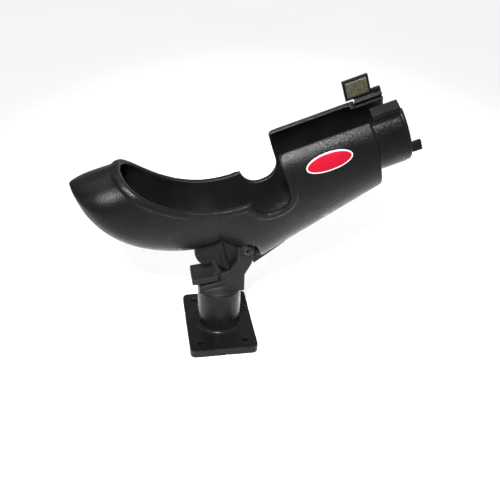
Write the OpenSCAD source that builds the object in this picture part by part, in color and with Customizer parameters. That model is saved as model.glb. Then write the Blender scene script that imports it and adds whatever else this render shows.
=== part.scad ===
// Boat rod holder: a slipper-toed cradle with a slotted tube and a turning collar,
// tilting on a swivel head that stands in the socket of a deck mount.
// Origin: centre of the deck plate's underside. +Z up, +X towards the tube's open end.

/* [Deck mount] */
// Plate size across the holder, along Y
plate_y = 101.6; // [90:0.1:130]
// Plate size along the holder, along X
plate_x = 73.6; // [65:0.1:90]
// Plate thickness
plate_t = 9.3; // [7:0.1:12]
// Plate corner radius
plate_corner_r = 6.5; // [3:0.5:10]
// Distance of each hole from the two nearest edges
hole_inset = 12.7; // [10:0.1:14]
// Radius of the four fixing holes
hole_r = 3.4; // [2.5:0.1:4]
// Outer radius of the upright socket
socket_r = 23.5; // [22:0.1:25]
// Height of the socket's top above the deck
socket_top = 57.5; // [57:0.1:58]

/* [Swivel head] */
// Radius of the stem in the socket
stem_r = 15.5; // [12:0.1:17]
// Half width of the head across the cheeks
head_half_y = 15; // [14.5:0.1:16]
// Half width of the slot between the cheeks
slot_half_y = 10.3; // [10.3:0.1:11]

/* [Tilt] */
// Tilt of the tube above the horizontal at rest
rest_tilt = 19; // [17:0.5:20]
// Distance of the tilt pivot from the swivel axis
pivot_x = 26; // [25.5:0.1:26.5]
// Height of the tilt pivot above the deck
pivot_z = 112; // [112:0.1:113]
// Radius of the tilt bolt's shank
tilt_bolt_r = 3.5; // [3:0.1:4]
// Radius of the lug's tooth tips about the pivot
quadrant_r = 38; // [37:0.1:38]

/* [Cradle] */
// Outer radius of the slotted tube
tube_r = 38; // [37.5:0.1:38.5]
// Wall thickness of the cradle
wall = 4.5; // [3.5:0.1:5]
// Half width of the trough, outside
trough_half_y = 35; // [34:0.5:36]
// Half width of the tube's slot, outside edge
slot_y = 27.3; // [25:0.1:28]
// Height of the tube's axis above the pivot, square to the axis
axis_n = 71; // [70:0.5:72]
// Distance from the pivot to the tube's shoulder, along the axis
tube_end = 150; // [148:0.5:152]
// Distance from the pivot to the tip of the toe, along the axis
toe_end = 136; // [134:0.5:138]
// Height of the toe's top above the pivot, square to the axis
toe_top = 130; // [128:0.5:132]

/* [Collar] */
// Outer radius of the locking collar
collar_r = 37; // [36.5:0.1:37.5]
// Length of the collar along the tube
collar_len = 28; // [27:0.5:30]
// Height of the near lip's rib above the lip
rib_h = 10; // [6:0.5:11]

/* [Hidden] */
$fn = 72;

black = [0.06, 0.06, 0.065];
steel = [0.62, 0.63, 0.65];
plastic_white = [0.86, 0.86, 0.84];
eps = 0.01;
through = 1;                          // how far a cut runs past the face it opens
run_gap = 0.08;                       // radial clearance of a shaft that turns in its hole

// Deck mount
bore_r = stem_r + run_gap;
recess_r = 22;                        // recess under the plate for the stem washer
recess_h = 5.2;
foot_fillet_r = 4;

// Head
thrust_t = 1;
head_z = socket_top + thrust_t;       // underside of the head
stem_foot_z = recess_h - 0.2;         // lower end of the stem, just clear of the plate
stem_washer_t = 1.6;
stem_screw_r = 3;
stem_screw_head = [6, 2.6];           // radius and height
stem_screw_len = 24;
flange_h = 1.5;                       // straight rim of the head's round foot
flange_cone = [15, 5];                // top radius and height of the cone above it
head_x0 = -23;                        // left end of the head's lower block
head_x1 = 25.2;                       // right end of the head's lower block
sill_z = 65;                          // top of the lower block, between the cheeks
block_top_z = [66.2, 71.8];           // its sloped top under the lever, at the left end and by the cheeks
tongue_room_x = -8;                   // left end of the slot between the cheeks
slot_floor_z = 63.5;                  // floor of the slot between the cheeks
ledge_x = 0;                          // left end of the two cheeks
ledge_z = [81.5, 85];                 // height of the cheeks' top at their left end and further right
boss_r = 9;                           // cheek's round end at the tilt pivot
ring_groove_z = 34;
ring_section_r = 1.6;

// Lever
lever_pin_x = 5;
lever_pin_z = 72.2;
lever_pin_r = 2;
lever_hub_r = 5.4;
lever_tongue_half_y = slot_half_y - 0.3;
clip_r = 3.8;
clip_t = 0.7;
paddle_x = [-30.5, -3];
paddle_half_y = 14.4;
paddle_top = [76, 79.6];              // height of the paddle's top at its tip and at its root
paddle_t = 6.7;
nose_x = -2.2;
nose_top_z = 85.2;
spring_x = -14;
spring_seat_z = 61;
spring_top_z = 73.5;
spring_r = [2.9, 4];                  // inside and outside

// Tilt pivot
bush_r = 5.2;
bush_half_y = 10.2;
bolt_head = [7.2, 4.2];               // radius and height
tilt_washer_r = 8.4;
tilt_washer_t = 1.2;
nut = [7.5, 6.8];                     // radius over the corners and height
bolt_tail = 10;                       // bolt's length past the cheek on the nut's side

// Toothed lug under the trough
lug_boss_r = 11;
lug_boss_half_y = 9.9;
web_half_y = 7;
tooth_pitch = 5;                      // degrees between the lug's teeth
tooth_h = 2;
tooth_first = 200 - rest_tilt;
tooth_last = 245 - rest_tilt;
cheek_gap = 2.2;                      // room around the cheek's round end

// Cradle outline, in the cradle's own frame: u along the tube's axis, n square to it,
// both from the tilt pivot
belly_low = [-31, 12.5];              // lowest point of the trough's belly
belly_rise = 104;                     // from the belly's lowest point up to the toe's tip
rim_arc_r = 110;                      // rim of the trough, seen from the side
rim_arc = [15, 171.5];
mouth_u = -90;                        // front of the trough's opening, behind the toe
toe_start = 98;                       // where the toe begins to round off, before the pivot
notch_u = [20.5, 59.5];
notch_n = 44;
notch_corner_r = 17;
slot_corner_r = 6;                    // where the notch runs out into the tube's slot
keel_slope = 0.264;
keel_n0 = -24.4;
segments = 32;                        // points around one section of the cradle
toe_stations = [for (k = [0 : 5]) -toe_end + (toe_end - toe_start) * pow(k / 5, 2)];
trough_stations = [-80, -60, -40, -24, -15, -7, 0, 8, 16, 30, 45, 60];

// Badge
badge_u = 102.6;
badge_n = 78;
badge_half = [21.6, 7.7];
badge_border_w = 1.25;
badge_gap = 0.2;

// Collar and retaining ring
spigot_r = 33;
spigot_bore_r = 29.5;
ring_gap = 0.4;
ring_t = 3.5;
ring_r = collar_r - 0.6;
collar_u0 = tube_end + 0.5;
collar_u1 = collar_u0 + collar_len;
ring_u0 = collar_u1 + ring_gap;
ring_u1 = ring_u0 + ring_t;
lip_y = 24;                           // half width of the collar's slot
lip_n = sqrt(collar_r * collar_r - lip_y * lip_y);
near_rib_w = 9.4;                     // how far the near rib overhangs the lip
far_rib = [4, 4.3];                   // width and height above the lip
flag_u = [collar_u0 - 8.3, collar_u0 + 18.3];
flag_t = 3.6;
flag_top_n = 49.5;
pad_t = 0.9;
pad_inset = 2.2;
pad_foot_n = 31;
spigot_slot_y = 27;                   // half width of the spigot's slot, outside edge
ring_slot = [-40.4, 80];              // ends of the retaining ring's slot, degrees from the top
peg = [9.5, 4, 10];                   // length, thickness and height
peg_y = -35;
peg_n = -15.7;
ring_screw_angles = [95, 180, 260];
ring_screw_r = 1;
ring_screw_circle_r = (spigot_r + spigot_bore_r) / 2;

// ---------- shared shapes ----------
module rod_y(r, y0, y1) {
    translate([0, y1, 0]) rotate([90, 0, 0]) cylinder(r = r, h = y1 - y0);
}

module rod_x(r, x0, x1) {
    translate([x0, 0, 0]) rotate([0, 90, 0]) cylinder(r = r, h = x1 - x0);
}

// Solid of an outline in X and Z, from y0 to y1
module side_plate(y0, y1) {
    translate([0, y1, 0]) rotate([90, 0, 0]) linear_extrude(height = y1 - y0) children();
}

// Solid of an outline in Y and Z, from x0 to x1
module end_plate(x0, x1) {
    translate([x0, 0, 0]) rotate([90, 0, 90]) linear_extrude(height = x1 - x0) children();
}

// Puts a shape drawn in the cradle's own frame in its place at rest
module at_pivot() {
    translate([pivot_x, 0, pivot_z]) rotate([0, -rest_tilt, 0]) children();
}

module on_tube_axis() {
    translate([0, 0, axis_n]) children();
}

// Wedge that opens a tube upwards, with edges at half width y on radius r
module slot_wedge(y, r, u0, u1) {
    half = asin(y / r);
    reach = 2 * r;
    end_plate(u0, u1) polygon([[0, 0], [-reach * tan(half), reach], [reach * tan(half), reach]]);
}

// ---------- deck mount ----------
module deck_mount() {
    color(black) difference() {
        union() {
            linear_extrude(height = plate_t) plate_outline();
            cylinder(r = socket_r, h = socket_top);
            translate([0, 0, plate_t]) foot_fillet();
        }
        translate([0, 0, -through]) cylinder(r = recess_r, h = recess_h + through);
        cylinder(r = bore_r, h = socket_top + through);
        for (sx = [-1, 1], sy = [-1, 1])
            translate([sx * (plate_x / 2 - hole_inset), sy * (plate_y / 2 - hole_inset), -through])
                cylinder(r = hole_r, h = plate_t + 2 * through);
    }
}

module plate_outline() {
    square([plate_x - 2 * plate_corner_r, plate_y], center = true);
    square([plate_x, plate_y - 2 * plate_corner_r], center = true);
    for (sx = [-1, 1], sy = [-1, 1])
        translate([sx * (plate_x / 2 - plate_corner_r), sy * (plate_y / 2 - plate_corner_r)])
            circle(r = plate_corner_r);
}

module foot_fillet() {
    rotate_extrude() difference() {
        translate([socket_r - 1, 0]) square([foot_fillet_r + 1, foot_fillet_r]);
        translate([socket_r + foot_fillet_r, foot_fillet_r]) circle(r = foot_fillet_r);
    }
}

module thrust_washer() {
    color(plastic_white) translate([0, 0, socket_top]) difference() {
        cylinder(r = socket_r - 1, h = thrust_t);
        translate([0, 0, -through]) cylinder(r = stem_r + 0.4, h = thrust_t + 2 * through);
    }
}

// ---------- swivel head ----------
module swivel_head() {
    color(black) difference() {
        union() {
            translate([0, 0, stem_foot_z]) cylinder(r = stem_r, h = head_z - stem_foot_z + eps);
            translate([0, 0, head_z]) cylinder(r = socket_r, h = flange_h);
            translate([0, 0, head_z + flange_h - eps])
                cylinder(r1 = socket_r, r2 = flange_cone[0], h = flange_cone[1]);
            side_plate(-head_half_y, head_half_y)
                polygon([[head_x0, head_z], [head_x1, head_z], [head_x1, sill_z], [ledge_x + 1, sill_z],
                         [ledge_x, block_top_z[1]], [head_x0, block_top_z[0]]]);
            for (side = [-1, 1]) cheek(side);
        }
        translate([tongue_room_x, -slot_half_y, slot_floor_z]) cube([70, 2 * slot_half_y, 60]);
        translate([lever_pin_x, 0, lever_pin_z])
            rod_y(lever_pin_r, -head_half_y - through, head_half_y + through);
        translate([pivot_x, 0, pivot_z])
            rod_y(tilt_bolt_r, -head_half_y - through, head_half_y + through);
        translate([spring_x, 0, spring_seat_z]) cylinder(r = spring_r[1] + 1, h = 20);
        translate([0, 0, ring_groove_z]) ring_section(ring_section_r);
        translate([0, 0, stem_foot_z - through]) cylinder(r = stem_screw_r, h = stem_screw_len);
    }
}

module cheek(side) {
    y0 = side < 0 ? -head_half_y : slot_half_y;
    side_plate(y0, y0 + head_half_y - slot_half_y) union() {
        polygon([[ledge_x, sill_z - 2], [head_x1, sill_z - 2], [head_x1, 79], [pivot_x + 6.5, 93.4],
                 [pivot_x + boss_r, pivot_z], [pivot_x - boss_r, pivot_z], [17, 97], [9, ledge_z[1]],
                 [ledge_x, ledge_z[0]]]);
        translate([pivot_x, pivot_z]) circle(r = boss_r);
    }
}

module ring_section(r) {
    rotate_extrude() translate([stem_r, 0]) circle(r = r, $fn = 24);
}

module friction_ring() {
    color([0.1, 0.1, 0.1]) translate([0, 0, ring_groove_z]) intersection() {
        ring_section(ring_section_r - 0.05);
        cylinder(r = stem_r + run_gap / 2, h = 10, center = true);
    }
}

module stem_washer() {
    color(steel) translate([0, 0, stem_foot_z - stem_washer_t]) difference() {
        cylinder(r = recess_r - 2, h = stem_washer_t);
        translate([0, 0, -through]) cylinder(r = stem_screw_r + 0.2, h = stem_washer_t + 2 * through);
    }
}

module stem_screw() {
    color(steel) translate([0, 0, stem_foot_z - stem_washer_t - stem_screw_head[1]]) difference() {
        union() {
            cylinder(r = stem_screw_head[0], h = stem_screw_head[1]);
            cylinder(r = stem_screw_r, h = stem_screw_len);
        }
        translate([0, 0, -through]) cylinder(r = 2.5, h = 1.8 + through, $fn = 6);
    }
}

// ---------- release lever ----------
module release_lever() {
    color([0.09, 0.09, 0.095]) difference() {
        union() {
            side_plate(-paddle_half_y, paddle_half_y) paddle_outline();
            side_plate(-lever_tongue_half_y, lever_tongue_half_y) tongue_outline();
        }
        translate([lever_pin_x, 0, lever_pin_z])
            rod_y(lever_pin_r + run_gap, -slot_half_y - through, slot_half_y + through);
        translate([spring_x, 0, sill_z]) cylinder(r = spring_r[1] + 0.6, h = spring_top_z - sill_z);
    }
}

module paddle_outline() {
    polygon([[paddle_x[0], paddle_top[0] - paddle_t + 1], [paddle_x[0] + 1.5, paddle_top[0] - paddle_t],
             [paddle_x[1], paddle_top[1] - paddle_t + 0.4], [paddle_x[1], paddle_top[1]],
             [paddle_x[0] + 1, paddle_top[0] + 0.1], [paddle_x[0], paddle_top[0] - 1]]);
}

// Hub on the pin, and the nose that stands before the lug's teeth
module tongue_outline() {
    translate([lever_pin_x, lever_pin_z]) circle(r = lever_hub_r);
    polygon([[paddle_x[1] - 4, paddle_top[1] - paddle_t + 0.5], [lever_pin_x, lever_pin_z - 4.6],
             [lever_pin_x, lever_pin_z + 4.6], [1.2, 80.5], [0, nose_top_z - 1.6],
             [nose_x, nose_top_z], [nose_x - 1.8, nose_top_z - 2.2], [paddle_x[1] - 4, 79]]);
}

module lever_pin() {
    color(steel) translate([lever_pin_x, 0, lever_pin_z])
        rod_y(lever_pin_r, -head_half_y - clip_t - 0.1, head_half_y + clip_t + 0.1);
}

module lever_pin_clips() {
    color(steel) translate([lever_pin_x, 0, lever_pin_z])
        for (y = [-head_half_y - clip_t, head_half_y]) difference() {
            rod_y(clip_r, y, y + clip_t);
            rod_y(lever_pin_r, y - through, y + clip_t + through);
        }
}

module lever_spring() {
    color(steel) translate([spring_x, 0, spring_seat_z]) difference() {
        cylinder(r = spring_r[1], h = spring_top_z - spring_seat_z);
        translate([0, 0, -through]) cylinder(r = spring_r[0], h = 20);
    }
}

// ---------- tilt pivot ----------
module tilt_bolt() {
    bearing_y = head_half_y + tilt_washer_t;
    color(black) translate([pivot_x, 0, pivot_z]) {
        rod_y(tilt_bolt_r, -bearing_y - eps, head_half_y + bolt_tail);
        rod_y(bolt_head[0], -bearing_y - bolt_head[1], -bearing_y);
    }
}

module tilt_washers() {
    color(black) translate([pivot_x, 0, pivot_z])
        for (y = [-head_half_y - tilt_washer_t, head_half_y]) difference() {
            rod_y(tilt_washer_r, y, y + tilt_washer_t);
            rod_y(tilt_bolt_r, y - through, y + tilt_washer_t + through);
        }
}

module tilt_nut() {
    color(black) translate([pivot_x, head_half_y + tilt_washer_t, pivot_z]) rotate([-90, 0, 0])
        difference() {
            cylinder(r = nut[0], h = nut[1], $fn = 6);
            translate([0, 0, -through]) cylinder(r = tilt_bolt_r, h = nut[1] + 2 * through);
        }
}

module pivot_bush() {
    color(plastic_white) translate([pivot_x, 0, pivot_z]) difference() {
        rod_y(bush_r, -bush_half_y, bush_half_y);
        rod_y(tilt_bolt_r + run_gap, -bush_half_y - through, bush_half_y + through);
    }
}

// ---------- cradle ----------
function ramp(x) = x <= 0 ? 0 : x >= 1 ? 1 : x * x * (3 - 2 * x);
function mix(a, b, x) = a + (b - a) * x;

// Belly line of the cradle: trough arc, then down to the straight keel
function keel_line(u) = keel_n0 + keel_slope * u;
function belly_arc(u) = let (reach = (belly_low[0] - u) / (toe_end + belly_low[0] + 0.5))
    belly_low[1] + belly_rise * (1 - sqrt(1 - pow(reach, 1.8)));
function belly(u) = u < belly_low[0] ? belly_arc(u)
    : mix(belly_low[1], keel_line(u), ramp((u + 24) / 40));

// Half width, top, centre height and fullness of the section at u
function toe_round(u) = sqrt(max(0.0004, 1 - pow(max(0, (-toe_start - u) / (toe_end - toe_start)), 3)));
function half_width(u) = u < 0 ? trough_half_y * toe_round(u) : mix(trough_half_y, tube_r, ramp(u / 60));
function top_n(u) = mix(toe_top, axis_n + tube_r, ramp((u + 60) / 120));
function mid_n(u) = mix(axis_n, toe_top - 31, ramp((0 - u) / 90));
function section_mid(u) = mix(max(mid_n(u), (belly(u) + 2 * top_n(u)) / 3), axis_n, ramp(u / 45));
function fullness(u) = mix(0.94, 1.1, ramp((u + 30) / 90));

function section(u, inset) =
    let (a = max(0.4, half_width(u) - inset), c = section_mid(u),
         up = max(0.4, top_n(u) - inset - c), down = max(0.4, c - belly(u) - inset))
    [for (i = [0 : segments - 1])
        let (q = 360 * i / segments, s = sin(q), k = cos(q))
        k >= 0 ? [u, a * s, c + up * k]
               : [u, a * sign(s) * pow(abs(s), fullness(u)), c + down * k]];

function flatten(l) = [for (a = l) for (b = a) b];

module loft(stations, inset) {
    rings = [for (u = stations) section(u, inset)];
    count = len(stations);
    sides = [for (r = [0 : count - 2], i = [0 : segments - 1])
        let (j = (i + 1) % segments, a = r * segments + i, b = r * segments + j,
             c = b + segments, d = a + segments)
        each [[a, b, c], [a, c, d]]];
    polyhedron(points = flatten(rings),
               faces = concat([[for (i = [segments - 1 : -1 : 0]) i]], sides,
                              [[for (i = [0 : segments - 1]) (count - 1) * segments + i]]));
}

module cradle() {
    color(black) at_pivot() {
        difference() {
            union() {
                loft(concat(toe_stations, trough_stations, [tube_end]), 0);
                tilt_lug();
                on_tube_axis() rod_x(spigot_r, tube_end - 10, ring_u0);
            }
            loft(concat([for (u = toe_stations) u * (1 - wall / toe_end)], trough_stations, [75]), wall);
            on_tube_axis() rod_x(tube_r - wall, 55, tube_end - 6);
            on_tube_axis() rod_x(spigot_bore_r, 60, ring_u0 + through);
            trough_opening();
            notch();
            on_tube_axis() slot_wedge(slot_y, tube_r, notch_u[0] + 20, tube_end);
            on_tube_axis() slot_wedge(spigot_slot_y, collar_r, tube_end - 1, ring_u0 + through);
            cheek_pockets();
            rod_y(bush_r, -lug_boss_half_y - through, lug_boss_half_y + through);
            ring_screw_holes();
        }
    }
}

module trough_opening() {
    side_plate(-60, 60) intersection() {
        translate(rim_arc) circle(r = rim_arc_r, $fn = 180);
        translate([mouth_u, 60]) square([notch_u[0] - mouth_u + 1, 120]);
    }
}

module notch() {
    slot_top_n = axis_n + sqrt(tube_r * tube_r - slot_y * slot_y);
    side_plate(-60, 60) union() {
        for (u = [notch_u[0] + notch_corner_r, notch_u[1] - notch_corner_r])
            translate([u, notch_n + notch_corner_r]) circle(r = notch_corner_r);
        translate([notch_u[0] + notch_corner_r, notch_n])
            square([notch_u[1] - notch_u[0] - 2 * notch_corner_r, 90]);
        translate([notch_u[0], notch_n + notch_corner_r]) square([notch_u[1] - notch_u[0], 90]);
        translate([notch_u[1] - eps, slot_top_n - slot_corner_r]) difference() {
            square([slot_corner_r, 60]);
            translate([slot_corner_r, 0]) circle(r = slot_corner_r);
        }
    }
}

// Toothed web below the trough, round boss at the pivot, and the keel's foot beside it
module tilt_lug() {
    side_plate(-web_half_y, web_half_y) lug_outline();
    rod_y(lug_boss_r, -lug_boss_half_y, lug_boss_half_y);
    lug_ribs();
}

module lug_outline() {
    difference() {
        union() {
            intersection() {
                circle(r = quadrant_r);
                polygon([[0, 12], [-60, 12], 60 * [cos(tooth_first), sin(tooth_first)],
                         60 * [cos(tooth_last), sin(tooth_last)], [0, -14]]);
            }
            polygon([[-46, 20], [-52.6, 10], [-53, 4], [-51.9, -1.6], [-49.8, -5], [-46, -7.6],
                     [-38, -7.6], [-30, -4], [0, -11], [1.5, -26.2], [40, -13.5], [60, 20]]);
        }
        for (a = [tooth_first + 2 : tooth_pitch : tooth_last])
            rotate(a) translate([quadrant_r, 0]) rotate(45) square(tooth_h * sqrt(2), center = true);
    }
}

// Upright rib on each face of the web
module lug_ribs() {
    translate([-25, 0, 0]) rotate([0, 9, 0]) for (side = [-1, 1])
        translate([0, side * (web_half_y - 0.3), -21]) cylinder(r = 3, h = 44, $fn = 32);
}

// Room for the head's cheeks on both sides of the lug
module cheek_pockets() {
    room = boss_r + cheek_gap;
    for (y0 = [-60, lug_boss_half_y]) side_plate(y0, y0 + 60 - lug_boss_half_y) union() {
        circle(r = room);
        translate([-60, -60]) square([60 + room, 60]);
    }
}

// ---------- badge ----------
module badge_shape(grow, r0, r1) {
    on_tube_axis() intersection() {
        difference() {
            rod_x(r1, badge_u - 40, badge_u + 40);
            rod_x(r0, badge_u - 41, badge_u + 41);
        }
        translate([badge_u, 0, badge_n - axis_n]) rotate([90, 0, 0]) linear_extrude(height = 60)
            scale([badge_half[0] + grow, badge_half[1] + grow]) circle(r = 1, $fn = 96);
    }
}

module badge() {
    color([0.78, 0.05, 0.1]) at_pivot() badge_shape(0, tube_r + badge_gap, tube_r + badge_gap + 0.7);
}

module badge_border() {
    color("white") at_pivot() difference() {
        badge_shape(badge_border_w, tube_r + badge_gap, tube_r + badge_gap + 0.6);
        badge_shape(0.05, tube_r - 1, tube_r + 3);
    }
}

// ---------- locking collar ----------
module locking_collar() {
    color(black) at_pivot() on_tube_axis() {
        difference() {
            rod_x(collar_r, collar_u0, collar_u1);
            rod_x(spigot_r + run_gap, collar_u0 - through, collar_u1 + through);
            slot_wedge(lip_y, collar_r, collar_u0 - through, collar_u1 + through);
        }
        near_rib();
        far_rib();
        thumb_flag();
    }
}

// Overhanging rib on the near lip
module near_rib() {
    outer_y = lip_y + near_rib_w;
    end_plate(collar_u0 + 1, collar_u1)
        polygon([[-lip_y, lip_n - 2.2], [-lip_y, lip_n + rib_h], [-lip_y - 1, lip_n + rib_h + 0.2],
                 [0.4 - outer_y, lip_n + rib_h - 4.2], [-outer_y, lip_n + 1.3],
                 [3.9 - outer_y, lip_n - 1.2], [4.4 - outer_y, lip_n - 7]]);
}

module far_rib() {
    outer_y = lip_y + far_rib[0];
    end_plate(collar_u0 + 1, collar_u1)
        polygon([[lip_y, lip_n - 2], [lip_y, lip_n + far_rib[1]], [outer_y, lip_n + far_rib[1]],
                 [outer_y, lip_n - 6]]);
}

// Upright flag on the far lip; its overhang clears the tube as the collar turns
module thumb_flag() {
    difference() {
        translate([flag_u[0], lip_y, lip_n - 2])
            cube([flag_u[1] - flag_u[0], flag_t, flag_top_n - lip_n + 2]);
        rod_x(tube_r + 0.6, flag_u[0] - through, collar_u0);
    }
}

module thumb_pad() {
    color([0.33, 0.33, 0.29]) at_pivot() on_tube_axis()
        translate([flag_u[0] + pad_inset, lip_y - pad_t, pad_foot_n])
            cube([flag_u[1] - flag_u[0] - 2 * pad_inset, pad_t, flag_top_n - pad_inset - pad_foot_n]);
}

// ---------- retaining ring ----------
module retaining_ring() {
    color(black) at_pivot() on_tube_axis() {
        difference() {
            rod_x(ring_r, ring_u0, ring_u1);
            rod_x(spigot_bore_r, ring_u0 - through, ring_u1 + through);
            ring_opening();
            at_ring_screws() rod_x(ring_screw_r, ring_u0 - through, ring_u1 + through);
        }
        translate([ring_u1 - eps, peg_y, peg_n]) cube(peg);
    }
}

module ring_opening() {
    reach = 2 * ring_r;
    end_plate(ring_u0 - through, ring_u1 + through)
        polygon([[0, 0], for (k = [0 : 4]) let (a = mix(ring_slot[0], ring_slot[1], k / 4))
                 reach * [sin(a), cos(a)]]);
}

module at_ring_screws() {
    for (a = ring_screw_angles) rotate([a, 0, 0]) translate([0, 0, ring_screw_circle_r]) children();
}

module ring_screw_holes() {
    on_tube_axis() at_ring_screws() rod_x(ring_screw_r, ring_u0 - 8, ring_u0 + through);
}

module ring_screws() {
    color(steel) at_pivot() on_tube_axis() at_ring_screws() {
        rod_x(ring_screw_r, ring_u0 - 7, ring_u1 + 0.5);
        rod_x(1.7, ring_u1, ring_u1 + 1.1);
    }
}

deck_mount();
thrust_washer();
swivel_head();
friction_ring();
stem_washer();
stem_screw();
release_lever();
lever_pin();
lever_pin_clips();
lever_spring();
tilt_bolt();
tilt_washers();
tilt_nut();
pivot_bush();
cradle();
badge();
badge_border();
locking_collar();
thumb_pad();
retaining_ring();
ring_screws();
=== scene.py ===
"""Boat rod holder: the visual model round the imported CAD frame."""
import math

import bmesh
import bpy
import numpy as np
from mathutils import Matrix, Vector


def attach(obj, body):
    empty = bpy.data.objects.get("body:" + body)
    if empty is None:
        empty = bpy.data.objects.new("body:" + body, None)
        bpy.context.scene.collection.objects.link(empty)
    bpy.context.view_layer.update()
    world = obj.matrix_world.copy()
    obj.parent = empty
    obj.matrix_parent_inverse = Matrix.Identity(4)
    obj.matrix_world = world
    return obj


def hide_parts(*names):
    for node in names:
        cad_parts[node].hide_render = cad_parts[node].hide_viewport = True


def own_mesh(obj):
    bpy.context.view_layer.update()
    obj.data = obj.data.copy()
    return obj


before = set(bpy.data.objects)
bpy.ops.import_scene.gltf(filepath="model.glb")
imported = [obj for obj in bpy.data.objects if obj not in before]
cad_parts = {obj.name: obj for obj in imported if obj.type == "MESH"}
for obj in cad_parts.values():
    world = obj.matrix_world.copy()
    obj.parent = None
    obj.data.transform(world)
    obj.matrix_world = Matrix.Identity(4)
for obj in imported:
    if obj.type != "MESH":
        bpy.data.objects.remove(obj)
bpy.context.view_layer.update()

MM = 0.001

# ---------------------------------------------------------------- camera
LOOK = Vector((0.1587, 0.8177, -0.5534)).normalized()
RIGHT = Vector((0.9852, -0.1683, 0.0339)).normalized()


def make_camera():
    data = bpy.data.cameras.new("camera")
    data.sensor_width = 36.0
    data.lens = 48.69
    data.clip_start, data.clip_end = 0.02, 50.0
    cam = bpy.data.objects.new("camera", data)
    up = RIGHT.cross(LOOK).normalized()
    right = LOOK.cross(up)
    turn = Matrix((right, up, -LOOK)).transposed().to_4x4()
    cam.matrix_world = Matrix.Translation((-0.08128, -0.58708, 0.49761)) @ turn
    bpy.context.scene.collection.objects.link(cam)
    bpy.context.scene.camera = cam


# ---------------------------------------------------------------- the cradle's own frame
# u runs along the tube, n square to it, both from the tilt pivot, in millimetres
TILT = math.radians(19)
PIVOT = np.array([26.0, 0.0, 112.0])
TUBE_R, WALL, TROUGH_Y, SLOT_Y = 38.0, 4.5, 35.0, 27.3
AXIS_N, TUBE_END, TOE_END, TOE_TOP, TOE_START = 71.0, 150.0, 136.0, 130.0, 98.0
RIM_R, RIM_U, RIM_N = 110.0, 15.0, 171.5
NOTCH_U, NOTCH_N, NOTCH_R = (20.5, 59.5), 44.0, 17.0
BELLY_U, BELLY_N, BELLY_RISE = -31.0, 12.5, 104.0
KEEL_N0, KEEL_SLOPE = -24.4, 0.264
SPIGOT_R, SPIGOT_BORE_R, SPIGOT_END = 33.0, 29.5, 178.9
SPIGOT_SLOT_Y, COLLAR_R = 27.0, 37.0
LUG_Y, WEB_Y, QUADRANT_R = 9.9, 7.0, 38.0
LUG_BOSS_R, BUSH_R, CHEEK_ROOM = 11.0, 5.2, 11.2
TEETH, TOOTH_PITCH, TOOTH_H = (181.0, 226.0), 5.0, 2.0
SLOT_CORNER_R = 6.0
FAR_Y = 60.0                    # beyond the cradle's sides, for cuts that go right through

# Other places, in millimetres
BOLT_HEAD_Y, BOLT_HEAD_R, BOLT_R, BOLT_END_Y = 16.2, 7.2, 3.5, 25.0
SPRING_X, SPRING_Z = -14.0, (61.0, 73.5)
PAD_U, PAD_N, PAD_FACE_Y = (144.4, 166.6), (31.0, 47.3), 24.0


def ramp(x):
    x = min(1.0, max(0.0, x))
    return x * x * (3 - 2 * x)


def mix(a, b, x):
    return a + (b - a) * x


def belly(u):
    if u < BELLY_U:
        reach = (BELLY_U - u) / (TOE_END + BELLY_U + 0.5)
        return BELLY_N + BELLY_RISE * (1 - math.sqrt(max(0.0, 1 - reach ** 1.8)))
    return mix(BELLY_N, KEEL_N0 + KEEL_SLOPE * u, ramp((u + 24) / 40))


def shape(u, inset=0.0):
    """Half width, centre height, rise, drop and fullness of the section at u."""
    toe = math.sqrt(max(0.0004, 1 - max(0.0, (-TOE_START - u) / (TOE_END - TOE_START)) ** 3))
    half = TROUGH_Y * toe if u < 0 else mix(TROUGH_Y, TUBE_R, ramp(u / 60))
    top = mix(TOE_TOP, AXIS_N + TUBE_R, ramp((u + 60) / 120))
    mid = mix(AXIS_N, TOE_TOP - 31, ramp(-u / 90))
    mid = mix(max(mid, (belly(u) + 2 * top) / 3), AXIS_N, ramp(u / 45))
    full = mix(0.94, 1.1, ramp((u + 30) / 90))
    return (max(0.4, half - inset), mid, max(0.4, top - inset - mid),
            max(0.4, mid - belly(u) - inset), full)


def section(u, inset, count):
    a, c, up, down, full = shape(u, inset)
    ring = []
    for i in range(count):
        q = 2 * math.pi * i / count
        s, k = math.sin(q), math.cos(q)
        if k >= 0:
            ring.append((u, a * s, c + up * k))
        else:
            ring.append((u, a * math.copysign(abs(s) ** full, s), c + down * k))
    return ring


def outside(u, n):
    """Half width of the cradle's outside at u, n."""
    a, c, up, down, full = shape(u)
    k = (n - c) / (up if n >= c else down)
    s = math.sqrt(max(0.0, 1 - k * k))
    return a * (s if n >= c else s ** full)


def level(p):
    """Negative inside the cradle's outside, positive beyond it."""
    a, c, up, down, full = shape(p[0])
    k = (p[2] - c) / (up if p[2] >= c else down)
    side = abs(p[1]) / a
    return (side ** 2 if p[2] >= c else side ** (2 / full)) + k * k - 1


# ---------------------------------------------------------------- solids in mesh code
def solid(name, verts, faces):
    mesh = bpy.data.meshes.new(name)
    mesh.from_pydata([tuple(v) for v in verts], [], faces)
    bm = bmesh.new()
    bm.from_mesh(mesh)
    bmesh.ops.remove_doubles(bm, verts=bm.verts, dist=1e-5)
    bmesh.ops.recalc_face_normals(bm, faces=bm.faces)
    bm.to_mesh(mesh)
    bm.free()
    obj = bpy.data.objects.new(name, mesh)
    bpy.context.scene.collection.objects.link(obj)
    return obj


def skin(rings, closed=False):
    """Faces of a row of equal rings, capped unless the row closes on itself."""
    count, size = len(rings), len(rings[0])
    verts = [p for ring in rings for p in ring]
    faces = []
    for r in range(count if closed else count - 1):
        nxt = (r + 1) % count
        for i in range(size):
            j = (i + 1) % size
            faces.append((r * size + i, r * size + j, nxt * size + j, nxt * size + i))
    if not closed:
        faces.append(tuple(range(size - 1, -1, -1)))
        faces.append(tuple((count - 1) * size + i for i in range(size)))
    return verts, faces


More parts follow.
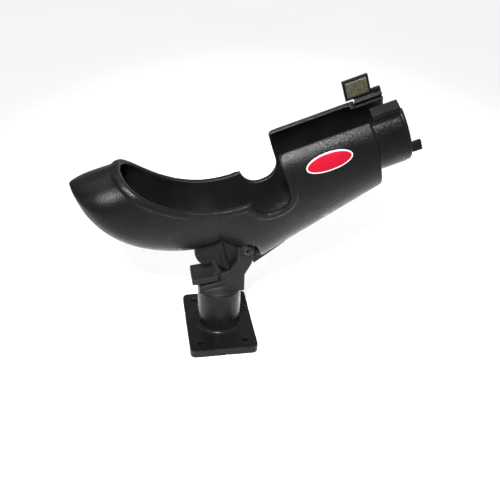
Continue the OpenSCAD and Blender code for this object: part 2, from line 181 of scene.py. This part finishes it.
def plate(name, outline, y0, y1):
    """Solid of an outline in u and n, from y0 to y1."""
    return solid(name, *skin([[(u, y, n) for u, n in outline] for y in (y0, y1)]))


def wedge(name, outline, u0, u1):
    """Solid of an outline in y and n, from u0 to u1."""
    return solid(name, *skin([[(u, y, n) for y, n in outline] for u in (u0, u1)]))


def circle(r, cx=0.0, cy=0.0, start=0.0, end=360.0, count=128):
    full = abs(end - start) >= 360
    steps = count if full else count + 1
    return [(cx + r * math.cos(math.radians(start + (end - start) * i / count)),
             cy + r * math.sin(math.radians(start + (end - start) * i / count))) for i in range(steps)]


def rod_u(name, r, u0, u1, count=144):
    return wedge(name, circle(r, 0, AXIS_N, count=count), u0, u1)


def slot_cut(name, y, r, u0, u1):
    rise = 90.0
    run = rise * y / math.sqrt(r * r - y * y)
    return wedge(name, [(0, AXIS_N), (run, AXIS_N + rise), (-run, AXIS_N + rise)], u0, u1)


def bake(obj):
    """Applies the object's modifiers to its mesh."""
    graph = bpy.context.evaluated_depsgraph_get()
    mesh = bpy.data.meshes.new_from_object(obj.evaluated_get(graph))
    old = obj.data
    obj.modifiers.clear()
    obj.data = mesh
    bpy.data.meshes.remove(old)
    return obj


def combine(obj, others, operation):
    for other in others:
        mod = obj.modifiers.new("combine", "BOOLEAN")
        mod.operation = operation
        mod.object = other
        mod.solver = "MANIFOLD"
        bake(obj)
        bpy.data.objects.remove(other)
    return obj


def moulded(obj, voxel, smooth):
    """Melts the solid's edges into one rounded moulding."""
    mod = obj.modifiers.new("remesh", "REMESH")
    mod.mode = "VOXEL"
    mod.voxel_size = voxel
    if smooth:
        mod = obj.modifiers.new("smooth", "SMOOTH")
        mod.factor = 0.5
        mod.iterations = smooth
    bake(obj)
    return obj


def finish_mesh(obj, to_row):
    """Moves the mesh from its own frame in millimetres to the row frame, shaded smooth."""
    obj.data.transform(Matrix.Scale(MM, 4) @ to_row)
    obj.data.update()
    for poly in obj.data.polygons:
        poly.use_smooth = True
    return obj


CRADLE_TO_ROW = Matrix.Translation(PIVOT) @ Matrix.Rotation(-TILT, 4, "Y")


# ---------------------------------------------------------------- cradle
def follow(path, strength):
    """Frames along a path on the cradle's outside: point, outward normal, and the direction
    away from the opening, with the bead's strength there."""
    pts = np.array(path)
    out = []
    for i, p in enumerate(pts):
        t = pts[min(i + 1, len(pts) - 1)] - pts[max(i - 1, 0)]
        t /= np.linalg.norm(t)
        grad = np.array([(level(p + d) - level(p - d)) / 0.02 for d in np.eye(3) * 0.01])
        grad -= t * grad.dot(t)
        grad /= np.linalg.norm(grad)
        away = np.cross(t, grad)
        out.append((p, grad, away, strength[i]))
    return out


def bead(name, frames, centre, profile):
    rings = []
    for p, normal, away, s in frames:
        if away.dot(p - centre) < 0:
            away = -away
        rings.append([p + away * b + normal * (w * s if w > 0 else w) for b, w in profile])
    return solid(name, *skin(rings))


def resample(pts, step):
    pts = np.array(pts)
    run = np.concatenate([[0], np.cumsum(np.linalg.norm(np.diff(pts, axis=0), axis=1))])
    at = np.linspace(0, run[-1], int(run[-1] / step) + 1)
    return np.stack([np.interp(at, run, pts[:, k]) for k in range(3)], axis=1)


def rim_path():
    """Edge of the trough's opening on the outside, from the far notch round the toe to the near one."""
    start = RIM_U - math.sqrt(RIM_R ** 2 - (RIM_N - TOE_TOP) ** 2)
    near = []
    for i in range(400):
        u = mix(start, NOTCH_U[0], (i / 399) ** 2)
        n = RIM_N - math.sqrt(RIM_R ** 2 - (u - RIM_U) ** 2)
        near.append((u, -outside(u, n), n))
    near[0] = (start, 0.0, TOE_TOP)
    far = [(u, -y, n) for u, y, n in near[:0:-1]]
    return resample(far + near, 1.6)


def notch_path(side):
    line = circle(NOTCH_R, NOTCH_U[0] + NOTCH_R, NOTCH_N + NOTCH_R, 184, 270, 20)
    line += circle(NOTCH_R, NOTCH_U[1] - NOTCH_R, NOTCH_N + NOTCH_R, 270, 360, 20)
    line.append((NOTCH_U[1], 84.0))
    pts = resample([(u, 0, n) for u, n in line], 1.6)
    return [(u, side * outside(u, n), n) for u, _, n in pts]


def lug_solids():
    """Toothed web, round boss, keel foot and upright ribs under the trough."""
    first, last = (math.radians(a) for a in TEETH)
    lug_top = 12
    start = math.pi - math.asin(lug_top / QUADRANT_R)
    sector = [(0, lug_top)]
    steps = 181
    for i in range(steps):
        a = mix(start, last, i / (steps - 1))
        r = QUADRANT_R
        if a > first + math.radians(1):
            phase = (math.degrees(a - first) - 2 + TOOTH_PITCH / 2) % TOOTH_PITCH - TOOTH_PITCH / 2
            r -= max(0.0, TOOTH_H - abs(math.radians(phase) * QUADRANT_R))
        sector.append((r * math.cos(a), r * math.sin(a)))
    sector.append((0, -14))
    foot = [(-46, 20), (-52.6, 10), (-53, 4), (-51.9, -1.6), (-49.8, -5), (-46, -7.6), (-38, -7.6),
            (-30, -4), (0, -11), (1.5, -26.2), (40, -13.5), (60, 20)]
    parts = [plate("web", sector, -WEB_Y, WEB_Y), plate("foot", foot, -WEB_Y, WEB_Y),
             plate("boss", circle(LUG_BOSS_R, count=96), -LUG_Y, LUG_Y)]
    rib_u, rib_lean, rib_r, rib_ends = -25, math.radians(9), 3, (-21, 23)
    lean = Matrix.Translation((rib_u, 0, 0)) @ Matrix.Rotation(rib_lean, 4, "Y")
    for side in (-1, 1):
        ring = circle(rib_r, 0, side * (WEB_Y - 0.3), count=32)
        rib = solid("rib", *skin([[(x, y, z) for x, y in ring] for z in rib_ends]))
        rib.data.transform(lean)
        parts.append(rib)
    return parts


def make_cradle():
    toe = [-TOE_END + (TOE_END - TOE_START) * (k / 40) ** 2 for k in range(40)]
    body = [float(u) for u in np.arange(-TOE_START, 60, 2)] + [60, 75, 90, 105, 120, 135, TUBE_END]
    around = 160
    cradle = solid("cradle_body", *skin([section(u, 0, around) for u in toe + body]))

    flange = [(-2.5, -2.4), (-2.5, 1.9), (5.4, 1.9), (6.3, 1.6), (6.8, 0.6), (6.8, -2.4)]
    rim = rim_path()
    fade = [ramp(min(i, len(rim) - 1 - i) / 3) * ramp((abs(p[1]) - 4) / 16 + 0.05) for i, p in enumerate(rim)]
    adds = [bead("rim_bead", follow(rim, fade), np.array([RIM_U, 0, RIM_N]), flange)]
    lower = [(-2.5, -2.4), (-2.5, 1.6), (5.2, 1.6), (6.4, 1.0), (7.0, 0.1), (7.0, -2.4)]
    for side in (-1, 1):
        path = notch_path(side)
        fade = [ramp(i / 3) * ramp((84 - p[2]) / 26 if p[0] > 50 else 1) for i, p in enumerate(path)]
        middle = np.array([(NOTCH_U[0] + NOTCH_U[1]) / 2, 0, 75])
        adds.append(bead("notch_bead", follow(path, fade), middle, lower))
    adds += lug_solids()
    adds.append(rod_u("spigot", SPIGOT_R, TUBE_END - 10, SPIGOT_END))
    combine(cradle, adds, "UNION")

    scale = 1 - WALL / TOE_END
    inner = [section(u, WALL, around) for u in [t * scale for t in toe] + body[1:-5]]
    cuts = [solid("hollow", *skin(inner)),
            rod_u("tube_bore", TUBE_R - WALL, 55, TUBE_END - 6),
            rod_u("spigot_bore", SPIGOT_BORE_R, 60, SPIGOT_END + 1)]
    opening = [(u, n) for u, n in circle(RIM_R, RIM_U, RIM_N, 180, 360, 240) if u < NOTCH_U[0] + 1]
    opening += [(NOTCH_U[0] + 1, RIM_N + 20), (-RIM_R + RIM_U, RIM_N + 20)]
    cuts.append(plate("opening", opening, -FAR_Y, FAR_Y))
    top = AXIS_N + math.sqrt(TUBE_R ** 2 - SLOT_Y ** 2)
    notch = circle(NOTCH_R, NOTCH_U[0] + NOTCH_R, NOTCH_N + NOTCH_R, 180, 270, 32)
    notch += circle(NOTCH_R, NOTCH_U[1] - NOTCH_R, NOTCH_N + NOTCH_R, 270, 360, 32)
    notch += circle(SLOT_CORNER_R, NOTCH_U[1] + SLOT_CORNER_R, top - SLOT_CORNER_R, 180, 90, 16)
    notch += [(NOTCH_U[1] + SLOT_CORNER_R, 140), (NOTCH_U[0], 140)]
    cuts.append(plate("notch", notch, -FAR_Y, FAR_Y))
    cuts.append(slot_cut("tube_slot", SLOT_Y, TUBE_R, NOTCH_U[0] + 20, TUBE_END))
    cuts.append(slot_cut("spigot_slot", SPIGOT_SLOT_Y, COLLAR_R, TUBE_END - 1, SPIGOT_END + 1))
    pocket = circle(CHEEK_ROOM, 0, 0, 0, 180, 64) + [(-60, 0), (-60, -60), (CHEEK_ROOM, -60)]
    for lo, hi in ((-FAR_Y, -LUG_Y), (LUG_Y, FAR_Y)):
        cuts.append(plate("pocket", pocket, lo, hi))
    cuts.append(plate("pivot_bore", circle(BUSH_R, count=96), -LUG_Y - 2, LUG_Y + 2))
    combine(cradle, cuts, "DIFFERENCE")
    moulded(cradle, 0.85, 3)
    finish_mesh(cradle, CRADLE_TO_ROW)
    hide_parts("cradle")
    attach(cradle, "cradle")
    return cradle


# ---------------------------------------------------------------- mouldings from the CAD's own solids
def moulded_copy(node, body, voxel, smooth):
    """The CAD node's solid as a moulding with rounded edges."""
    obj = bpy.data.objects.new(node + "_body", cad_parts[node].data.copy())
    bpy.context.scene.collection.objects.link(obj)
    obj.data.transform(Matrix.Scale(1 / MM, 4))
    bm = bmesh.new()
    bm.from_mesh(obj.data)
    bmesh.ops.remove_doubles(bm, verts=bm.verts, dist=1e-4)
    bm.to_mesh(obj.data)
    bm.free()
    obj.data.materials.clear()
    moulded(obj, voxel, smooth)
    finish_mesh(obj, Matrix.Identity(4))
    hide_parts(node)
    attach(obj, body)
    return obj


def bevelled(node, width=0.25):
    """Rounds the edges of a CAD node that stays in view."""
    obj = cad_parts[node]
    mod = obj.modifiers.new("edges", "BEVEL")
    mod.width = width * MM
    mod.segments = 2
    mod.limit_method = "ANGLE"
    mod.angle_limit = math.radians(40)
    for poly in obj.data.polygons:
        poly.use_smooth = True
    mod = obj.modifiers.new("normals", "WEIGHTED_NORMAL")
    mod.keep_sharp = True
    return obj


# ---------------------------------------------------------------- small pieces
def lathe(name, profile, centre, direction, count=64):
    """Turned piece: profile of (distance along, radius) pairs about a line along Y."""
    rings = []
    for i in range(count):
        a = 2 * math.pi * i / count
        rings.append([(r * math.cos(a), direction * d, r * math.sin(a)) for d, r in profile])
    verts, faces = skin(rings, closed=True)
    obj = solid(name, verts, faces)
    obj.data.transform(Matrix.Translation(centre))
    return obj


def make_bolt():
    """Tilt bolt with a low domed head and a hexagon socket."""
    start = BOLT_HEAD_Y
    profile = [(0.0, 0.01), (0.0, BOLT_HEAD_R), (0.6, BOLT_HEAD_R)]
    for i in range(1, 15):
        a = math.radians(90 * i / 14)
        profile.append((0.6 + 3.0 * math.sin(a), 3.6 + 3.6 * math.cos(a)))
    profile += [(3.4, 3.3), (3.6, 0.01)]
    x, z = PIVOT[0], PIVOT[2]
    head = lathe("tilt_bolt_head", profile, (x, -start, z), -1)
    cut = plate("socket", circle(2.3, x, z, count=6), -start - 5, -start - 1.6)
    combine(head, [cut], "DIFFERENCE")
    shank = plate("shank", circle(BOLT_R, x, z, count=64), -start - 0.5, BOLT_END_Y)
    combine(head, [shank], "UNION")
    mod = head.modifiers.new("edges", "BEVEL")
    mod.width, mod.segments, mod.limit_method, mod.angle_limit = 0.25, 2, "ANGLE", math.radians(35)
    bake(head)
    finish_mesh(head, Matrix.Identity(4))
    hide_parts("tilt_bolt")
    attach(head, "swivel")
    return head


def make_spring():
    """Lever spring: round wire in six turns, its ends closed and flat."""
    low, high = SPRING_Z
    wire, radius, turns, steps = 0.55, 3.45, 6.5, 40
    total = int(turns * steps)
    rings = []
    for i in range(total + 1):
        f = i / total
        a = 2 * math.pi * turns * f
        z = mix(low + wire, high - wire, mix(f, ramp(f), 0.6))
        centre = Vector((SPRING_X + radius * math.cos(a), radius * math.sin(a), z))
        out = Vector((math.cos(a), math.sin(a), 0))
        rings.append([centre + out * wire * math.cos(b) + Vector((0, 0, wire * math.sin(b)))
                      for b in [2 * math.pi * k / 12 for k in range(12)]])
    obj = solid("lever_spring_coil", *skin(rings))
    finish_mesh(obj, Matrix.Identity(4))
    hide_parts("lever_spring")
    return obj


def make_pad():
    """Thumb pad: a face dished about an upright crease."""
    cols, rows = 90, 60
    verts, faces = [], []
    for j in range(rows + 1):
        for i in range(cols + 1):
            f, g = i / cols, j / rows
            edge = min(f, 1 - f, g * 0.6, (1 - g) * 0.6)
            dish = 0.45 * ramp(abs(f - 0.5) / 0.35) + 0.15
            depth = (0.25 + dish) * ramp(edge / 0.05)
            verts.append((mix(*PAD_U, f), PAD_FACE_Y - depth, AXIS_N + mix(*PAD_N, g)))
    for j in range(rows):
        for i in range(cols):
            a = j * (cols + 1) + i
            faces.append((a, a + 1, a + cols + 2, a + cols + 1))
    size = len(verts)
    back = [(u, PAD_FACE_Y + 0.4, n) for u, _, n in verts]
    faces += [tuple(size + k for k in reversed(f)) for f in faces]
    loop = [i for i in range(cols + 1)] + [j * (cols + 1) + cols for j in range(1, rows + 1)]
    loop += [rows * (cols + 1) + i for i in range(cols - 1, -1, -1)]
    loop += [j * (cols + 1) for j in range(rows - 1, 0, -1)]
    for k, a in enumerate(loop):
        b = loop[(k + 1) % len(loop)]
        faces.append((b, a, size + a, size + b))
    obj = solid("thumb_pad_face", verts + back, faces)
    finish_mesh(obj, CRADLE_TO_ROW)
    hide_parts("thumb_pad")
    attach(obj, "collar")
    return obj


# ---------------------------------------------------------------- materials
class Tree:
    """A few lines of help for building a node tree."""

    def __init__(self, name):
        self.mat = bpy.data.materials.new(name)
        self.mat.use_nodes = True
        self.nodes, self.links = self.mat.node_tree.nodes, self.mat.node_tree.links
        self.shader = next(n for n in self.nodes if n.type == "BSDF_PRINCIPLED")
        self.coords = self.nodes.new("ShaderNodeTexCoord")

    def add(self, kind, inputs=None, **settings):
        node = self.nodes.new(kind)
        for key, value in settings.items():
            setattr(node, key, value)
        for key, value in (inputs or {}).items():
            if isinstance(value, bpy.types.NodeSocket):
                self.links.new(value, node.inputs[key])
            else:
                node.inputs[key].default_value = value
        return node

    def noise(self, scale, detail=3.0, rough=0.55, stretch=(1, 1, 1)):
        place = self.add("ShaderNodeMapping", {"Vector": self.coords.outputs["Object"], "Scale": stretch})
        return self.add("ShaderNodeTexNoise", {"Vector": place.outputs[0], "Scale": scale, "Detail": detail,
                                               "Roughness": rough}).outputs["Fac"]

    def span(self, value, low, high, to_low=0.0, to_high=1.0):
        return self.add("ShaderNodeMapRange", {"Value": value, "From Min": low, "From Max": high,
                                               "To Min": to_low, "To Max": to_high}).outputs[0]

    def blend(self, fac, a, b):
        node = self.add("ShaderNodeMix", data_type="RGBA")
        for socket, value in ((node.inputs[0], fac), (node.inputs[6], a), (node.inputs[7], b)):
            if isinstance(value, bpy.types.NodeSocket):
                self.links.new(value, socket)
            else:
                socket.default_value = (*value, 1) if isinstance(value, tuple) else value
        return node.outputs[2]

    def bump(self, height, strength, distance, below=None):
        inputs = {"Height": height, "Strength": strength, "Distance": distance}
        if below is not None:
            inputs["Normal"] = below
        return self.add("ShaderNodeBump", inputs).outputs[0]

    def wire(self, **sockets):
        for key, value in sockets.items():
            name = key.replace("_", " ")
            if isinstance(value, bpy.types.NodeSocket):
                self.links.new(value, self.shader.inputs[name])
            else:
                self.shader.inputs[name].default_value = (*value, 1) if isinstance(value, tuple) else value
        return self.mat


def moulding(name, dark, light, rough, grain, grain_depth, edge=0.5):
    """Moulded black plastic: pebbled grain, uneven gloss, faint scuffs and paler worn edges."""
    t = Tree(name)
    cloud = t.noise(28, 4)
    tone = t.blend(t.span(cloud, 0.35, 0.7), dark, light)
    scuff = t.span(t.noise(420, 5, 0.7, (1, 0.25, 1)), 0.62, 0.78)
    patch = t.span(t.noise(17, 2), 0.5, 0.75)
    both = t.add("ShaderNodeMath", {0: scuff, 1: patch}, operation="MULTIPLY").outputs[0]
    haze = tuple(c * 2.0 + 0.002 for c in light)
    tone = t.blend(t.span(both, 0, 1, 0, 0.5), tone, haze)
    point = t.add("ShaderNodeNewGeometry").outputs["Pointiness"]
    worn = t.span(point, 0.52, 0.6, 0, edge)
    tone = t.blend(worn, tone, tuple(c * 2.0 + 0.006 for c in light))
    gloss = t.span(t.noise(60, 3), 0.3, 0.7, rough - 0.05, rough + 0.07)
    wave = t.bump(t.noise(45, 2), 0.25, 0.0006)
    cells = t.add("ShaderNodeTexVoronoi", {"Vector": t.coords.outputs["Object"], "Scale": grain},
                  feature="SMOOTH_F1").outputs["Distance"]
    pebble = t.bump(cells, grain_depth, 0.0003, wave)
    fine = t.bump(t.noise(grain * 2.2, 2), grain_depth * 0.6, 0.00015, pebble)
    return t.wire(Base_Color=tone, Roughness=gloss, Normal=fine, Specular_IOR_Level=0.1)


def metal(name, color, rough, stretch, metallic=1.0):
    """Drawn or turned steel with fine lines along its making."""
    t = Tree(name)
    lines = t.noise(900, 3, 0.6, stretch)
    tone = t.blend(t.span(lines, 0.3, 0.7), tuple(c * 0.8 for c in color), color)
    gloss = t.span(lines, 0.3, 0.7, rough - 0.06, rough + 0.08)
    return t.wire(Base_Color=tone, Roughness=gloss, Metallic=metallic,
                  Specular_IOR_Level=0.12, Normal=t.bump(lines, 0.15, 0.0001))


def white_plastic():
    t = Tree("white_acetal")
    tone = t.blend(t.noise(40, 3), (0.72, 0.71, 0.68), (0.84, 0.84, 0.82))
    return t.wire(Base_Color=tone, Roughness=0.4, Normal=t.bump(t.noise(900, 2), 0.1, 0.0001))


def label(name, low, high):
    """Printed film: slight unevenness of the ink and a soft gloss."""
    t = Tree(name)
    tone = t.blend(t.span(t.noise(160, 4), 0.3, 0.7), low, high)
    return t.wire(Base_Color=tone, Roughness=0.4, Specular_IOR_Level=0.15,
                  Normal=t.bump(t.noise(500, 2), 0.06, 0.0001))


def pad_plastic():
    """Olive pad: mottled and rubbed."""
    t = Tree("olive_pad")
    tone = t.blend(t.span(t.noise(300, 5, 0.7), 0.35, 0.65), (0.01, 0.01, 0.006), (0.055, 0.054, 0.03))
    spot = t.span(t.noise(900, 2), 0.62, 0.7)
    tone = t.blend(spot, tone, (0.11, 0.108, 0.065))
    return t.wire(Base_Color=tone, Roughness=0.5, Specular_IOR_Level=0.25,
                  Normal=t.bump(t.noise(1200, 3), 0.5, 0.0003))


def rubber():
    t = Tree("black_rubber")
    tone = t.blend(t.noise(200, 3), (0.012, 0.012, 0.012), (0.03, 0.03, 0.03))
    return t.wire(Base_Color=tone, Roughness=0.75, Normal=t.bump(t.noise(800, 2), 0.2, 0.0001))


def paint(obj, mat):
    obj.data.materials.clear()
    obj.data.materials.append(mat)


# ---------------------------------------------------------------- the set
def area_light(name, place, target, size, power, spread=180):
    data = bpy.data.lights.new(name, "AREA")
    data.shape = "RECTANGLE"
    data.size, data.size_y = size
    data.energy = power
    data.spread = math.radians(spread)
    obj = bpy.data.objects.new(name, data)
    obj.location = place
    obj.rotation_mode = "QUATERNION"
    obj.rotation_quaternion = (Vector(target) - Vector(place)).to_track_quat("-Z", "Y")
    bpy.context.scene.collection.objects.link(obj)


def make_set():
    edge = 40
    corners = [(-edge, -edge, 0), (edge, -edge, 0), (edge, edge, 0), (-edge, edge, 0)]
    floor = solid("floor", corners, [(0, 1, 2, 3)])
    t = Tree("floor")
    tone = t.blend(t.noise(3, 2), (0.86, 0.86, 0.86), (0.9, 0.9, 0.9))
    paint(floor, t.wire(Base_Color=tone, Roughness=0.9))
    world = bpy.data.worlds.new("studio")
    world.use_nodes = True
    world.node_tree.nodes["Background"].inputs[0].default_value = (1, 1, 1, 1)
    world.node_tree.nodes["Background"].inputs[1].default_value = 0.28
    bpy.context.scene.world = world
    aim = (0.02, 0, 0.14)
    area_light("key", (-0.75, -0.35, 0.4), aim, (0.12, 0.5), 1.2)
    area_light("front", (-0.2, -0.72, 0.92), aim, (0.16, 0.12), 2.6, 40)
    area_light("side", (0.75, -0.3, 0.4), aim, (0.12, 0.5), 1.4)
    sun = bpy.data.lights.new("ceiling", "SUN")
    sun.energy, sun.angle = 2.45, math.radians(60)
    ceiling = bpy.data.objects.new("ceiling", sun)
    ceiling.rotation_euler = (math.radians(-12), math.radians(-8), 0)
    bpy.context.scene.collection.objects.link(ceiling)
    bpy.context.scene.view_settings.view_transform = "Standard"


# ---------------------------------------------------------------- build
make_camera()
cradle = make_cradle()
deck = moulded_copy("deck_mount", "mount", 0.7, 2)
head = moulded_copy("swivel_head", "swivel", 0.6, 2)
lever = moulded_copy("release_lever", "lever", 0.45, 2)
collar = moulded_copy("locking_collar", "collar", 0.5, 2)
ring = moulded_copy("retaining_ring", "cradle", 0.45, 2)
bolt = make_bolt()
spring = make_spring()
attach(spring, "swivel")
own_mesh(spring)
pad = make_pad()
for small in ("thrust_washer", "stem_washer", "stem_screw", "lever_pin", "lever_pin_clips", "tilt_washers",
              "tilt_nut", "pivot_bush", "ring_screws"):
    bevelled(small)
bevelled("badge", 0.12)
bevelled("badge_border", 0.1)

grained = moulding("grained_nylon", (0.0018, 0.0019, 0.002), (0.0035, 0.0036, 0.0037), 0.3, 950, 0.8)
satin = moulding("satin_nylon", (0.004, 0.004, 0.0042), (0.008, 0.008, 0.0082), 0.4, 1300, 0.2)
glossy = moulding("glossy_nylon", (0.0025, 0.0026, 0.0028), (0.005, 0.0052, 0.0054), 0.27, 1100, 0.12)
bright = metal("bright_steel", (0.62, 0.62, 0.63), 0.3, (1, 1, 0.1))
dark = metal("blackened_steel", (0.006, 0.006, 0.0063), 0.4, (1, 0.2, 1), 0.1)
white = white_plastic()
paint(cradle, grained)
for piece in (deck, ring):
    paint(piece, glossy)
for piece in (head, lever):
    paint(piece, satin)
paint(collar, grained)
paint(bolt, dark)
paint(spring, bright)
paint(pad, pad_plastic())
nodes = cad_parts
for name, mat in (("thrust_washer", glossy), ("pivot_bush", white), ("stem_washer", bright),
                  ("stem_screw", bright), ("lever_pin", dark), ("lever_pin_clips", dark),
                  ("tilt_washers", dark), ("tilt_nut", dark), ("ring_screws", bright),
                  ("friction_ring", rubber()),
                  ("badge", label("badge_red", (0.17, 0.0004, 0.007), (0.21, 0.0008, 0.01))),
                  ("badge_border", label("badge_white", (0.34, 0.32, 0.31), (0.4, 0.38, 0.37)))):
    paint(nodes[name], mat)
make_set()
